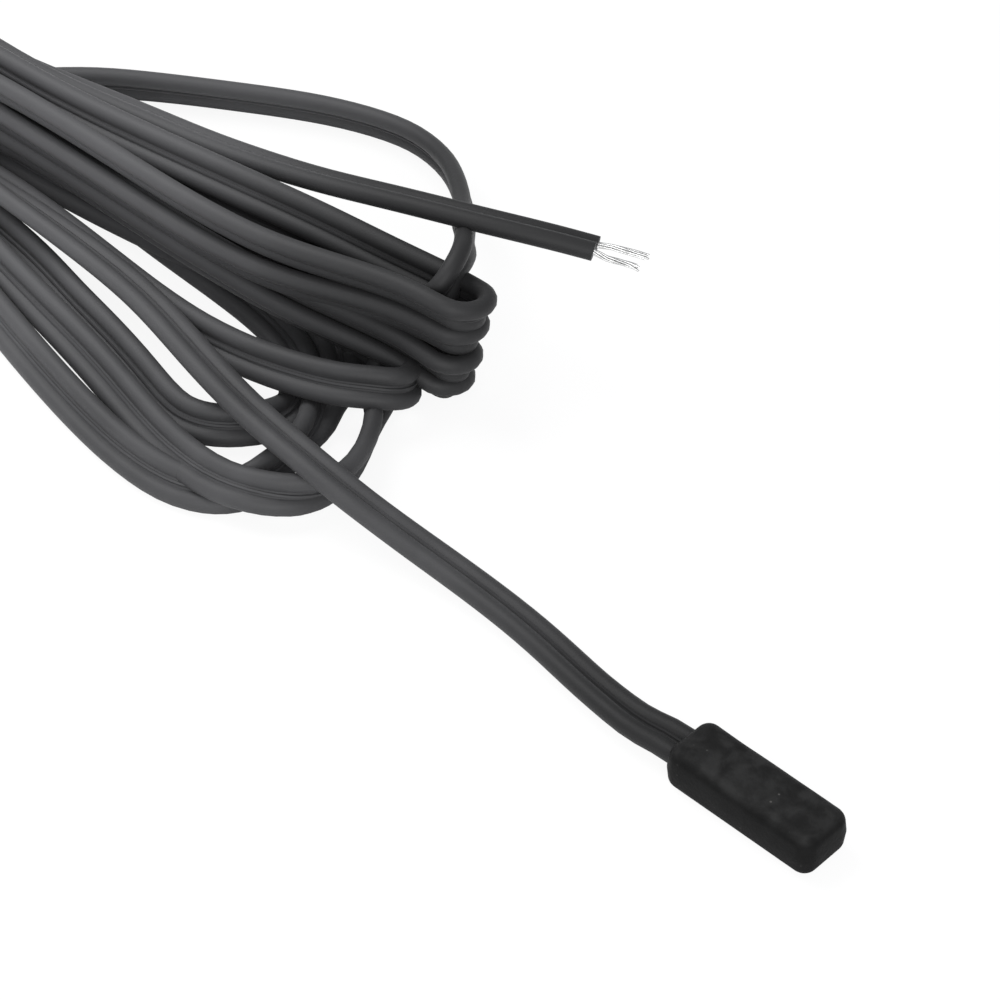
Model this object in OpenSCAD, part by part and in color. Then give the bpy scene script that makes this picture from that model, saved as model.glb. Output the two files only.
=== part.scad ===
// Moulded temperature sensor probe: a rounded head on the end of a flat twin cable, with the cable
// wound into a hank and its free end stripped. Millimetres, +Z up. The origin lies under the middle
// of the head, on the surface that the probe rests on, and the cable leaves the head towards -X.

/* [Head] */
// Length of the head along X
head_l = 18; // [15:0.5:24]
// Width of the head along Y
head_w = 6.6; // [6:0.1:9]
// Height of the head
head_h = 5; // [4.6:0.1:7]
// Radius of the soft edges of the head
head_edge_r = 1.4; // [1:0.1:1.6]
// How far the sides of the head lean in above and below the mould's parting line
head_draft = 0.12; // [0:0.02:0.3]
// Depth of the shut-off groove around the cable in the head's back face
groove_d = 0.5; // [0.3:0.1:0.8]
// Width of that groove all round the cable
groove_w = 0.35; // [0.2:0.05:0.5]

/* [Inner moulding] */
// Length of the inner moulding that holds the bead and the joints
core_l = 12; // [10.8:0.2:13]
// Width of the inner moulding
core_w = 4.6; // [4.4:0.1:4.8]
// Height of the inner moulding
core_h = 3; // [2.8:0.1:3.2]
// Rounding of the inner moulding's long edges
core_r = 0.9; // [0.5:0.1:1.2]

/* [Sensing bead] */
// Diameter of the coated thermistor bead
bead_d = 2.2; // [1.8:0.1:2.4]
// Length of the drop-shaped coating, with its neck
bead_l = 3.4; // [3:0.1:3.8]
// Wall between the bead's tip and the tip of the inner moulding
bead_wall = 0.8; // [0.5:0.1:1.2]
// Diameter of the bead's own lead wires
wire_d = 0.26; // [0.2:0.02:0.32]
// Distance between the two wires where they leave the bead
wire_pitch = 0.8; // [0.6:0.1:1]

/* [Joints] */
// Outside diameter of a crimp barrel
crimp_d = 1; // [0.9:0.05:1.1]
// Length of a crimp barrel
crimp_l = 2.2; // [1.8:0.1:2.4]
// Wall of the insulating sleeve over each crimp
sleeve_wall = 0.2; // [0.15:0.05:0.25]
// How far the sleeve reaches past each end of the crimp
sleeve_over = 0.4; // [0.3:0.1:0.6]
// Clearance between the crimp and its sleeve
sleeve_gap = 0.05; // [0.03:0.01:0.08]

/* [Cable] */
// Diameter of each insulated core of the twin cable
lobe_d = 2.05; // [1.9:0.05:2.2]
// Distance between the two cores
lobe_pitch = 2.55; // [2.45:0.05:2.6]
// Thickness of the flat web between the cores
web_t = 1.2; // [1:0.05:1.3]
// Diameter of the stranded conductor in each core
strand_d = 0.6; // [0.5:0.05:0.65]
// Diameter of one wire of a strand
thread_d = 0.2; // [0.16:0.02:0.2]
// Length of cable jacket moulded into the head
cable_in = 3.5; // [3:0.1:4]
// Stripped length of conductor inside the head
strip_in = 2; // [1.8:0.1:2.4]
// Stripped length of conductor at the free end
strip_out = 4.5; // [3:0.5:8]

/* [Hank] */
// Height of the wound hank, four turns of cable on edge
hank_h = 17.4; // [16:0.2:20]
// Height above the surface at which the upright turns start
turns_z = 2.8; // [2:0.1:4]
// Height of the lowest upright turn, which bows out under the others
low_h = 4.4; // [4.1:0.1:4.8]
// Height of the lower loops, which lie against the surface
loops_h = 4; // [3.6:0.1:4.1]
// Width of the hank where it is tied
tied_w = 16; // [15:0.5:18]
// Where the tied part of the hank begins
tied_x = -146; // [-150:1:-142]
// Length of the tied part of the hank, to its left end
tied_l = 44; // [36:1:60]
// Width of the band that ties the hank
tie_w = 5; // [3:0.5:8]
// Thickness of that band
tie_t = 0.8; // [0.5:0.1:1.2]
// Distance from the start of the tied part to the band
tie_in = 4; // [2:0.5:10]

/* [Hidden] */
$fn = 48;

// Derived places in the head. The cable axis runs through the middle of the head's height
axis_z = head_h / 2;
back_x = -head_l / 2;
jacket_x = back_x + cable_in;
core_end_x = jacket_x + core_l;
bead_tip_x = core_end_x - bead_wall;
bead_neck_x = bead_tip_x - bead_l;
bead_neck_d = 1.3;
bead_ball_x = bead_tip_x - bead_d / 2;
// Angle below the ball's middle at which the bead's neck runs into it
neck_angle = 20;
strand_end_x = jacket_x + strip_in;
crimp_x = strand_end_x - crimp_l / 2;
sleeve_d = crimp_d + 2 * sleeve_gap + 2 * sleeve_wall;
sleeve_x = crimp_x - sleeve_over;
sleeve_l = crimp_l + 2 * sleeve_over;
wire_in_bead = 0.9;
wire_straight = 0.5;
wire_steps = 6;
// How far a cutter reaches past the face that it cuts
over = 1;
// How far the bores of the inner moulding run into each other
join = 0.2;

// Route of the lead, from the back of the head up over the lower loops to the tied part.
// Each row is x, y, z and the lean of the flat cable in degrees: 0 lies flat, 90 stands on edge
lead_route = [
    [back_x, 0, axis_z, 0],
    [back_x - 2, 0, axis_z, 0],
    [-14, -0.5, 2.3, 8],
    [-18, 0, 2, 15],
    [-22, 0.5, 1.8, 18],
    [-30, 2, 1.6, 18],
    [-39, 2.5, 1.7, 18],
    [-47, 2, 2.6, 18],
    [-54.5, 0.5, 5.2, 20],
    [-61, 0.5, 6.3, 20],
    [-70, 1, 6.8, 20],
    [-80, 3, 7, 20],
    [-90, 5.5, 7, 22],
    [-100, 6.5, 7, 22],
    [-112, 6.5, 7.5, 30],
    [-124, 6.5, 7.5, 50],
    [-135, 7.5, 7, 75],
    [tied_x, 7.5, 7, 90]];

// Route of the wide outer loop, from the tied part out along the surface, under the tail and up
// over the back of the hank, where it drops into the turns
outer_route = [
    [tied_x, 19, 2.4, 90],
    [-142, 19, 2.4, 90],
    [-137, 23, 2.4, 95],
    [-131, 30.5, 2.4, 102],
    [-124.5, 35.5, 2.4, 110],
    [-116, 41, 2.3, 110],
    [-107, 46.5, 2.3, 110],
    [-99, 49.5, 2.3, 110],
    [-93, 49.5, 3, 108],
    [-87, 47.5, 4, 105],
    [-82.5, 44.5, 5.4, 102],
    [-77.5, 40.5, 7.4, 101],
    [-72.5, 35.5, 10.4, 100],
    [-69.5, 32, 12.6, 100],
    [-66.5, 29.5, 14.8, 100],
    [-64, 26.5, 16.2, 101]];

// Route of the tail, from the tied part across the outer loop to its stripped end
tail_route = [
    [tied_x, 17.5, 14.5, -90],
    [-142, 17.5, 14.5, -90],
    [-133.5, 17.5, 14, -70],
    [-127, 19, 13.2, -50],
    [-119, 20.5, 13, -30],
    [-109.5, 22.5, 13, -20],
    [-100, 24.5, 13.4, -16],
    [-89, 26, 14, -16],
    [-81, 28.5, 14.4, -16],
    [-75, 30.5, 14.6, -16],
    [-72, 32, 14.6, -16],
    [-69, 33.5, 14.5, -16],
    [-66.5, 35.5, 14.2, -16],
    [-64, 37.5, 13.8, -16],
    [-61, 39.5, 13.3, -16],
    [-58, 41, 12.7, -16]];

// Middle of the tied part across its width
tied_y = 12.5;

// Plan of the upright turns, seen from above: back and front edges and a round right end
turns_back = [[-62, 26.3], [-71, 25], [-80, 23.5], [-91, 21], [-104, 19], [-124, 15.5], [tied_x, 14.6]];
turns_front = [[tied_x, 10.3], [-124, 11.2], [-104, 11.5], [-92, 11.8], [-84, 12.4], [-79, 13.6],
    [-72, 15.7], [-64.5, 17.8], [-61.5, 19.5]];
turns_end = [-60.4, 23];
turns_end_r = 3.7;

// Plan of the lowest upright turn, which bows out towards the front under the others
low_turn = [[-70, 22], [-65, 21], [-63.5, 19.5], [-64.5, 17.2], [-68, 14.2], [-73, 11.2], [-78.5, 8.4],
    [-86, 6.4], [-94, 6], [-104, 6.6], [-116, 8], [-130, 10.5], [-130, 14], [-92, 16]];

// Plan of the lower loops: outer edge from the tied part round to under the turns, then inner edge
loops_outer = [[tied_x, 5], [-126, -0.5], [-112, -4], [-101, -6.7], [-91, -9], [-81, -10.4], [-74, -10.6],
    [-69.5, -9.8], [-65, -7.6], [-62, -3.2], [-59, 1.2], [-58.3, 4], [-59.7, 9], [-63, 13.5]];
loops_inner = [[-66.5, 12.6], [-66, 8], [-68, 3.5], [-71, 2.2], [-77.5, -0.4], [-82, 0], [-89, 1.6],
    [-97, 3.4], [-110, 5.6], [-124, 7.6], [tied_x, 9]];

// Round section of the jacket of one core, with the web between the two, as a flat outline
module cable_section(grow = 0) {
    for (side = [-1, 1])
        translate([side * lobe_pitch / 2, 0]) circle(d = lobe_d + 2 * grow);
    square([lobe_pitch, web_t + 2 * grow], center = true);
}

// A length of the cable along X, lying flat, with its axis at the head's cable axis
module cable_along_x(x, l, grow = 0) {
    translate([x, 0, axis_z]) rotate([90, 0, 90]) linear_extrude(l) cable_section(grow);
}

// A round rod along X at the given place
module rod_x(x, y, l, d) {
    translate([x, y, axis_z]) rotate([0, 90, 0]) cylinder(d = d, h = l);
}

// Outer form of the head: soft edges, and sides that lean in from the parting line at mid height
module head_form() {
    facets = 32;
    ball_r = head_edge_r / cos(180 / facets);
    ball_x = head_l / 2 - head_edge_r;
    ball_y = head_w / 2 - head_edge_r;
    hull()
        for (sx = [-1, 1], sy = [-1, 1]) {
            for (z = [head_edge_r, head_h - head_edge_r])
                translate([sx * (ball_x - head_draft), sy * (ball_y - head_draft), z])
                    sphere(r = ball_r, $fn = facets);
            translate([sx * ball_x, sy * ball_y, axis_z])
                sphere(r = ball_r, $fn = facets);
        }
}

// Outer form of the inner moulding, a bar along X with rounded long edges
module core_form() {
    translate([jacket_x, 0, axis_z]) rotate([90, 0, 90]) linear_extrude(core_l) {
        for (sy = [-1, 1], sz = [-1, 1])
            translate([sy * (core_w / 2 - core_r), sz * (core_h / 2 - core_r)]) circle(r = core_r);
        square([core_w - 2 * core_r, core_h], center = true);
        square([core_w, core_h - 2 * core_r], center = true);
    }
}

// Drop-shaped coating of the thermistor: a ball with a neck towards the cable
module bead_form() {
    ball_r = bead_d / 2;
    ball_l = bead_ball_x - bead_neck_x;
    translate([bead_neck_x, 0, axis_z]) rotate([0, 90, 0])
        rotate_extrude()
            intersection() {
                union() {
                    polygon([[0, 0], [bead_neck_d / 2, 0],
                        [ball_r * cos(neck_angle), ball_l - ball_r * sin(neck_angle)], [0, ball_l]]);
                    translate([0, ball_l]) circle(r = ball_r);
                }
                square([bead_d, bead_l + over]);
            }
}

// Route of one lead wire of the bead: out of its crimp, over to its place on the bead by an even
// double bend, and into the coating
function wire_route(side) =
    let (y_crimp = side * lobe_pitch / 2, y_bead = side * wire_pitch / 2,
        start_x = sleeve_x + sleeve_l + wire_straight, stop_x = bead_neck_x - wire_straight)
    [[strand_end_x, y_crimp, axis_z, 0],
     for (k = [0:wire_steps])
        let (t = k / wire_steps)
        [start_x + (stop_x - start_x) * t, y_crimp + (y_bead - y_crimp) * (1 - cos(180 * t)) / 2, axis_z, 0],
     [bead_neck_x + wire_in_bead, y_bead, axis_z, 0]];

// Round wire as an eight-sided outline
function wire_section() = [for (k = [0:7]) wire_d / 2 * [cos(45 * k), sin(45 * k)]];

// Cross-section points of the flat cable, for the swept cords: two lobes and the web between them
function section_points() =
    let (r = lobe_d / 2, c = lobe_pitch / 2, w = web_t / 2, s = r * sqrt(0.5), m = c - sqrt(r * r - w * w))
    [[c + r, 0], [c + s, s], [c, r], [m, w], [-m, w], [-c, r], [-c - s, s],
     [-c - r, 0], [-c - s, -s], [-c, -r], [-m, -w], [m, -w], [c, -r], [c + s, -s]];

function unit(v) = v / norm(v);
function place(row) = [row[0], row[1], row[2]];

// Direction of the route at point i: along the first and last segments at the ends
function direction(route, i) =
    let (n = len(route) - 1)
    unit(place(route[min(i + 1, n)]) - place(route[max(i - 1, 0)]));

// Level heading of the route at point i. Where the route is upright, it is the heading before that
function heading(route, i) =
    let (d = direction(route, i))
    norm([d[0], d[1]]) > 0.05 ? unit([d[0], d[1], 0]) : heading(route, i - 1);

// One ring of the sweep at point i of its route, turned by the lean of that point
function ring(route, i, section) =
    let (t = direction(route, i),
        side = cross([0, 0, 1], heading(route, i)),
        top = cross(t, side),
        lean = route[i][3],
        wide = side * cos(lean) + top * sin(lean),
        thin = cross(t, wide))
    [for (p = section) place(route[i]) + wide * p[0] + thin * p[1]];

// An outline swept along a route as one closed polyhedron
module sweep(route, section) {
    n = len(section);
    last = len(route) - 1;
    points = [for (i = [0:last]) each ring(route, i, section)];
    sides = [for (i = [0:last - 1], k = [0:n - 1], half = [0, 1])
        let (a = i * n + k, b = i * n + (k + 1) % n)
        half == 0 ? [a, b, b + n] : [a, b + n, a + n]];
    caps = [[for (k = [n - 1:-1:0]) k], [for (k = [0:n - 1]) last * n + k]];
    polyhedron(points, concat(sides, caps));
}

// A free stretch of the flat cable
module cord(route) {
    sweep(route, section_points());
}

// Seven bare wires of a stranded conductor along X: one in the middle and six around it
module strand_wires(l) {
    rotate([0, 90, 0]) cylinder(d = thread_d, h = l);
    for (k = [0:5])
        rotate([60 * k, 0, 0]) translate([0, thread_d, 0]) rotate([0, 90, 0]) cylinder(d = thread_d, h = l);
}

// Place of one core at the tail's cut end, and its direction
tail_last = len(tail_route) - 1;
tail_dir = direction(tail_route, tail_last);
tail_side = unit(cross([0, 0, 1], tail_dir));
tail_wide = tail_side * cos(tail_route[tail_last][3])
    + cross(tail_dir, tail_side) * sin(tail_route[tail_last][3]);

module sensor_overmould() color([0.16, 0.16, 0.165])
    difference() {
        head_form();
        core_form();
        cable_along_x(back_x - over, cable_in + over);
        cable_along_x(back_x - over, groove_d + over, groove_w);
    }

module inner_moulding() color([0.82, 0.8, 0.74])
    difference() {
        core_form();
        bead_form();
        for (side = [-1, 1]) {
            y = side * lobe_pitch / 2;
            rod_x(sleeve_x, y, sleeve_l, sleeve_d);
            rod_x(jacket_x - over, y, sleeve_x - jacket_x + over + join, strand_d);
            sweep(wire_route(side), wire_section());
        }
    }

module thermistor_bead() color([0.1, 0.1, 0.1])
    difference() {
        bead_form();
        for (side = [-1, 1])
            rod_x(bead_neck_x - over, side * wire_pitch / 2, over + wire_in_bead, wire_d);
    }

module thermistor_wire(side) color([0.8, 0.8, 0.8]) sweep(wire_route(side), wire_section());

module crimp(side) color([0.75, 0.73, 0.68])
    difference() {
        rod_x(crimp_x, side * lobe_pitch / 2, crimp_l, crimp_d);
        rod_x(crimp_x - over, side * lobe_pitch / 2, strand_end_x - crimp_x + over, strand_d);
        rod_x(crimp_x, side * lobe_pitch / 2, crimp_l + over, wire_d);
    }

module crimp_sleeve(side) color([0.85, 0.6, 0.2])
    difference() {
        rod_x(sleeve_x, side * lobe_pitch / 2, sleeve_l, sleeve_d);
        rod_x(sleeve_x - over, side * lobe_pitch / 2, sleeve_l + 2 * over, crimp_d + 2 * sleeve_gap);
    }

module head_strand(side) color([0.85, 0.85, 0.87])
    rod_x(back_x, side * lobe_pitch / 2, cable_in + strip_in, strand_d);

module cable_end_in_head() color([0.2, 0.2, 0.205])
    difference() {
        cable_along_x(back_x, cable_in);
        for (side = [-1, 1])
            rod_x(back_x - over, side * lobe_pitch / 2, cable_in + 2 * over, strand_d);
    }

module cable_lead() color([0.24, 0.24, 0.245]) cord(lead_route);

module cable_outer_loop() color([0.24, 0.24, 0.245]) cord(outer_route);

module cable_tail() color([0.24, 0.24, 0.245]) cord(tail_route);

// Plan of the upright turns, one above the other
module turns_plan() {
    polygon(concat(turns_back, turns_front));
    translate(turns_end) circle(r = turns_end_r);
}

module cable_hank_turns() color([0.25, 0.25, 0.255]) {
    translate([0, 0, turns_z]) linear_extrude(hank_h - turns_z) turns_plan();
    linear_extrude(low_h) polygon(low_turn);
}

module cable_lower_loops() color([0.22, 0.22, 0.225])
    linear_extrude(loops_h)
        difference() {
            polygon(concat(loops_outer, loops_inner));
            turns_plan();
            polygon(low_turn);
        }

module cable_tied_part() color([0.25, 0.25, 0.255])
    difference() {
        translate([tied_x, tied_y, 0]) linear_extrude(hank_h) {
            translate([-tied_l + tied_w / 2, 0]) circle(d = tied_w);
            translate([-tied_l + tied_w / 2, -tied_w / 2]) square([tied_l - tied_w / 2, tied_w]);
        }
        tie_band(2 * tied_w, 2 * hank_h, tied_w - 2 * tie_t, hank_h - 2 * tie_t);
    }

// A square band about the hank, between an outer and an inner size
module tie_band(outer_y, outer_z, inner_y, inner_z) {
    translate([tied_x - tie_in - tie_w, tied_y, hank_h / 2])
        difference() {
            translate([0, -outer_y / 2, -outer_z / 2]) cube([tie_w, outer_y, outer_z]);
            translate([-over, -inner_y / 2, -inner_z / 2]) cube([tie_w + 2 * over, inner_y, inner_z]);
        }
}

module hank_tie() color([0.1, 0.1, 0.1])
    tie_band(tied_w, hank_h, tied_w - 2 * tie_t, hank_h - 2 * tie_t);

module tail_strand(side) color([0.85, 0.85, 0.87])
    translate(place(tail_route[tail_last]) + tail_wide * side * lobe_pitch / 2)
        rotate([0, acos(tail_dir[2]) - 90, atan2(tail_dir[1], tail_dir[0])]) strand_wires(strip_out);

sensor_overmould();
inner_moulding();
thermistor_bead();
thermistor_wire(1);  // thermistor_wire_left
thermistor_wire(-1);  // thermistor_wire_right
crimp(1);  // crimp_left
crimp(-1);  // crimp_right
crimp_sleeve(1);  // crimp_sleeve_left
crimp_sleeve(-1);  // crimp_sleeve_right
head_strand(1);  // head_strand_left
head_strand(-1);  // head_strand_right
cable_end_in_head();
cable_lead();
cable_hank_turns();
cable_lower_loops();
cable_outer_loop();
cable_tied_part();
cable_tail();
tail_strand(1);  // tail_strand_left
tail_strand(-1);  // tail_strand_right
hank_tie();
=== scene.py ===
"""Looks of a moulded temperature sensor probe on a flat twin cable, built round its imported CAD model."""
import math

import bmesh
import bpy
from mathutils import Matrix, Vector, noise


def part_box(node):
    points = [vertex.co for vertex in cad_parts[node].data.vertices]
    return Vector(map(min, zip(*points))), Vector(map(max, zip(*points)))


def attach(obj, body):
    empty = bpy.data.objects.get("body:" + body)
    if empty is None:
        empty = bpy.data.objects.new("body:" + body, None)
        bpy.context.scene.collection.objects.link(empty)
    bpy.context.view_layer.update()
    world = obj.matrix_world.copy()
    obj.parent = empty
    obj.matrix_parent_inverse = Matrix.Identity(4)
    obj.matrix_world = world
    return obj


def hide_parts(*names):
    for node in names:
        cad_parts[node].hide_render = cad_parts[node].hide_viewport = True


bl_info = {
    "name": "Temperature Sensor Probe",
    "version": (1, 0, 0),
    "blender": (4, 5, 0),
    "location": "View3D > Sidebar > Probe",
    "description": "Builds a moulded temperature sensor probe with its coiled flat twin cable",
    "category": "Add Mesh",
}

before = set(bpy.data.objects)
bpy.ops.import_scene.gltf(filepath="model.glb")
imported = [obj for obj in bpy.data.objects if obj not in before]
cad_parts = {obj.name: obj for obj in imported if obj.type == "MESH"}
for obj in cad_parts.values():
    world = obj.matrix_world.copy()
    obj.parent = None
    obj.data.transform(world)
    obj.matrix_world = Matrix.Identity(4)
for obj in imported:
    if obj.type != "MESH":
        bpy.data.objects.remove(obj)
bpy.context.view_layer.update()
HEAD_LOW, HEAD_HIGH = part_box("sensor_overmould")
HEAD_SIZE = HEAD_HIGH - HEAD_LOW
TIE_LOW, TIE_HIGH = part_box("hank_tie")
MM = 0.001

# Route of the lead out of the head, in millimetres, with the lean of the flat cable in degrees.
# Lean 0 lies flat and 90 stands on edge
LEAD = [
    (-9, 0, 2.5, 0),
    (-11, 0, 2.5, 0),
    (-14, -0.5, 2.3, 8),
    (-18, 0, 2, 15),
    (-22, 0.5, 1.8, 18),
    (-30, 2, 1.6, 18),
    (-39, 2.5, 1.7, 18),
    (-47, 2, 2.6, 18),
    (-54.5, 0.5, 5.2, 20),
    (-61, 0.5, 6.3, 20),
    (-70, 1, 6.8, 20),
    (-80, 3, 7, 20),
    (-90, 5.5, 7, 22),
    (-100, 6.5, 7, 22),
    (-112, 6.5, 7.5, 30),
    (-124, 6.5, 7.5, 50),
    (-135, 7.5, 7, 75),
    (-146, 7.5, 7, 90),
]

# The wide outer loop, from the tied part out along the surface and up over the back of the hank
OUTER = [
    (-146, 19, 2.4, 90),
    (-142, 19, 2.4, 90),
    (-137, 23, 2.4, 95),
    (-131, 30.5, 2.4, 102),
    (-124.5, 35.5, 2.4, 110),
    (-116, 41, 2.3, 110),
    (-107, 46.5, 2.3, 110),
    (-99, 49.5, 2.3, 110),
    (-93, 49.5, 3, 108),
    (-87, 47.5, 4, 105),
    (-82.5, 44.5, 5.4, 102),
    (-77.5, 40.5, 7.4, 101),
    (-73.6, 36.6, 9, 100),
    (-70.7, 33.3, 11, 100),
    (-67.4, 30.5, 13.4, 100),
    (-64.5, 27.4, 15.6, 92),
    (-62.9, 25, 16.4, 83),
    (-62.3, 23.2, 16, 78),
    (-62.3, 21.8, 14.4, 78),
    (-63.3, 21, 12.4, 84),
    (-65.2, 21, 10.2, 95),
    (-67, 20.8, 7.5, 110),
    (-67.9, 20, 4.5, 130),
    (-67.4, 18.2, 2.1, 160),
    (-66.3, 15.8, 1.7, 150),
    (-64.9, 14.2, 2.2, 115),
    (-63.6, 12.7, 2.3, 86),
    (-62.4, 11.2, 2.3, 74),
    (-60.4, 8.2, 2.5, 70),
    (-58.7, 4.6, 2.7, 72),
    (-58.3, 1, 3.2, 82),
    (-59.3, -1.8, 3.5, 106),
    (-61.6, -4.1, 3.7, 130),
    (-65, -5.7, 3.7, 145),
    (-68.5, -6.3, 3.5, 145),
    (-73, -6, 3.2, 140),
    (-78, -5.2, 3, 135),
    (-84, -3.8, 3, 135),
    (-90, -2.4, 3, 135),
    (-96, -1.2, 3, 130),
    (-102, -0.2, 3, 125),
    (-112, 1.5, 3.4, 115),
    (-124, 3.2, 4.5, 100),
    (-135, 4.8, 6.2, 90),
    (-146, 5.5, 6.8, 90),
]

# The tail, from the tied part down over the outer loop to its stripped end
TAIL = [
    (-146, 17.5, 14.5, 90),
    (-142, 17.5, 14.5, 90),
    (-133.5, 17.5, 14, 110),
    (-127, 19, 13.2, 130),
    (-119.5, 20, 13, 148),
    (-110, 21.9, 13, 152),
    (-100.5, 23.2, 13.2, 155),
    (-92, 25.1, 13.5, 157),
    (-84.1, 25.9, 15, 157),
    (-77.4, 27.5, 16, 157),
    (-71.4, 29.2, 16.6, 157),
    (-66.4, 30.8, 16.9, 157),
    (-61.8, 33, 16.7, 157),
    (-58, 35.2, 16.2, 157),
    (-55, 37.3, 15.4, 157),
]

# Right ends of the lower loops, from the back strand round to the front strand
LOWER_INNER = [
    (-146, 17.3, 6.8, 90),
    (-136, 17.4, 6, 100),
    (-124, 17.5, 3.5, 130),
    (-110, 17.5, 1.6, 160),
    (-95, 17.5, 1.1, 180),
    (-84, 17, 1.1, 180),
    (-77, 15, 1.1, 180),
    (-74.5, 12.5, 1.1, 180),
    (-72.2, 10.4, 1.1, 175),
    (-70.8, 7.8, 1.6, 155),
    (-70.9, 4.6, 2.2, 122),
    (-73, 0.8, 2.6, 122),
    (-76.5, -1.5, 2.7, 132),
    (-80.5, -1.3, 2.6, 130),
    (-86.5, 0.4, 2.7, 125),
    (-94, 2, 2.8, 120),
    (-100, 3, 2.8, 118),
    (-106, 4.4, 2.8, 115),
    (-113, 5.6, 2.7, 110),
    (-124, 6.8, 2.5, 100),
    (-135, 7.5, 2.4, 90),
    (-146, 7.7, 2.4, 90),
]
LOWER_OUTER = [
    (-146, 17.3, 2.4, 90),
    (-136, 17.6, 2.4, 100),
    (-124, 18.5, 2.2, 130),
    (-110, 20.5, 1.7, 160),
    (-97, 22, 1.2, 175),
    (-85, 22, 1.1, 180),
    (-76, 19.8, 1.1, 180),
    (-71, 15.8, 1.1, 180),
    (-69.9, 11.6, 1.1, 180),
    (-68.5, 9.6, 1.6, 155),
    (-67.3, 7.7, 2.2, 120),
    (-66.3, 5.1, 2.3, 95),
    (-65.5, 1.7, 2.4, 92),
    (-64.9, -2, 2.1, 130),
    (-65.9, -4.8, 1.6, 155),
    (-68, -6.9, 1.6, 155),
    (-71, -8.3, 1.8, 145),
    (-75, -8.9, 2, 138),
    (-80.5, -8.7, 2, 135),
    (-88.5, -7.5, 2, 135),
    (-98, -5.5, 2, 135),
    (-104.5, -4, 2.1, 130),
    (-112, -2.2, 2.2, 122),
    (-124, 1.5, 2.3, 110),
    (-136, 4.6, 2.4, 95),
    (-146, 5.5, 2.4, 90),
]

# Lowest upright turn, which bows out towards the front under the others
LOW_TURN = [
    (-146, 19.5, 6.8, 90),
    (-136, 19.3, 6, 90),
    (-124, 18, 4, 85),
    (-108, 18.5, 2.6, 80),
    (-94, 19.5, 2.4, 75),
    (-80, 19.8, 2.6, 72),
    (-70, 19.8, 3, 72),
    (-65.5, 19.6, 3.3, 78),
    (-63.1, 18.2, 4.3, 90),
    (-61.9, 16.3, 5.1, 105),
    (-62.3, 14.5, 5.7, 118),
    (-64.4, 12.6, 6, 126),
    (-67.2, 10.7, 5.9, 128),
    (-71.6, 9.3, 5.5, 128),
    (-77.5, 8, 5, 124),
    (-84.8, 7.6, 4.3, 116),
    (-91.7, 7.8, 4.3, 108),
    (-101, 8.6, 4.3, 100),
    (-109, 9.2, 4.5, 95),
    (-121, 10, 4, 90),
    (-134, 10, 2.8, 90),
    (-146, 9.9, 2.4, 90),
]

# Plan of the upright turns, the middle of the band: at the back from the tied part to the right, and at
# the front from the right end to the left
BACK_PLAN = [(-146, 15.1), (-136, 15), (-124, 15.1), (-114, 15.7), (-104, 17), (-91, 19), (-80, 21.2),
             (-71, 23)]
FRONT_PLAN = [(-65.5, 18.9), (-71.5, 17), (-78, 14.9), (-83.5, 13.9), (-89.5, 13.4), (-96, 13.2),
              (-109, 13.2), (-123, 12.9)]

# Each upright turn from the top: the middle of its right end and the radius there, the heights of its
# back strand in the hank (middle) and just before the right end (back), of the right end and of its
# front strand along the front plan, the leans of both strands, how far the front strand is pushed to
# the back, and where both strands enter the tied part
TURNS = [
    dict(end=(-60.2, 22), bend=2.6, middle=15, back=12.9, right=15,
         front=(15, 15, 15, 15, 15, 15, 15, 15),
         leans=(62, 62), push=0, tied=(7.7, 15.1), back_tied=15.1),
    dict(end=(-60.9, 22), bend=2.3, middle=10.9, back=9.4, right=11,
         front=(11.4, 11.3, 11, 10.9, 10.8, 10.8, 10.8, 10.8),
         leans=(60, 60), push=-0.3, tied=(9.9, 15.1), back_tied=11.2),
    dict(end=(-61, 21.4), bend=2, middle=6.8, back=5.7, right=7.1,
         front=(7.8, 8.2, 8.6, 8.9, 9, 9, 9, 9),
         leans=(56, 56), push=1.6, tied=(9.9, 11.2), back_tied=6.8),
    dict(end=(-62.4, 21.5), bend=1.8, middle=3.2, back=2, right=3.5,
         front=(4.7, 5.4, 6, 6.5, 6.8, 6.8, 6.8, 6.8),
         leans=(35, 46), push=0.7, tied=(9.9, 6.8), back_tied=2.4),
]

# Where the strands enter the tied part, and the lean that they have there
TIED_X = -146
UPRIGHT = 90
# Length over which a back strand leaves the tied part for its own height and lean
RISE = 25
# Where a back strand starts to drop towards its right end, and over what length
DROP_X = -84
DROP = 20
# The back plan is drawn for right ends at this y and at this distance from the tied part
PLAN_END_Y = 22.3
PLAN_REACH = 86
# The last point before a right end lies this far left of its middle, at this share of its radius
RUN_IN = 4
RUN_IN_SHARE = 0.93
END_STEPS = 6
# Lean of the front strands in the hank, and the points over which they reach that lean and their push
FRONT_LEAN = 62
LEAN_POINTS = 4
PUSH_POINTS = 3
# Shares of a front strand's way from the front plan into the tied part, with their places
INTO_TIE = ((0.3, -130), (0.75, -138), (1, TIED_X))
# The left end of the hank: places along its straight strands, and the middle of its round end
LEFT_RUN = (-154, -163, -172)
LEFT_X = -182.0
LEFT_STEPS = 8

# Length of the pieces that the route's curve is cut into, in millimetres
FINE_STEP = 0.3
# The least and the most between two rings of the cable, and the change of direction that asks for one
LEAST_GAP = 0.4
MOST_GAP = 1.8
RING_TURN = math.radians(7)
# A stretch with less of its way level than this keeps the side axis of the ring before it
LEAST_LEVEL = 0.12

# Half widths of the fine ridge on the web at its foot and its crest, and how far its foot stands up
RIDGE_FOOT = 0.2
RIDGE_CREST = 0.11
FOOT_RISE = 0.02
LOBE_STEPS = 12

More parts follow.
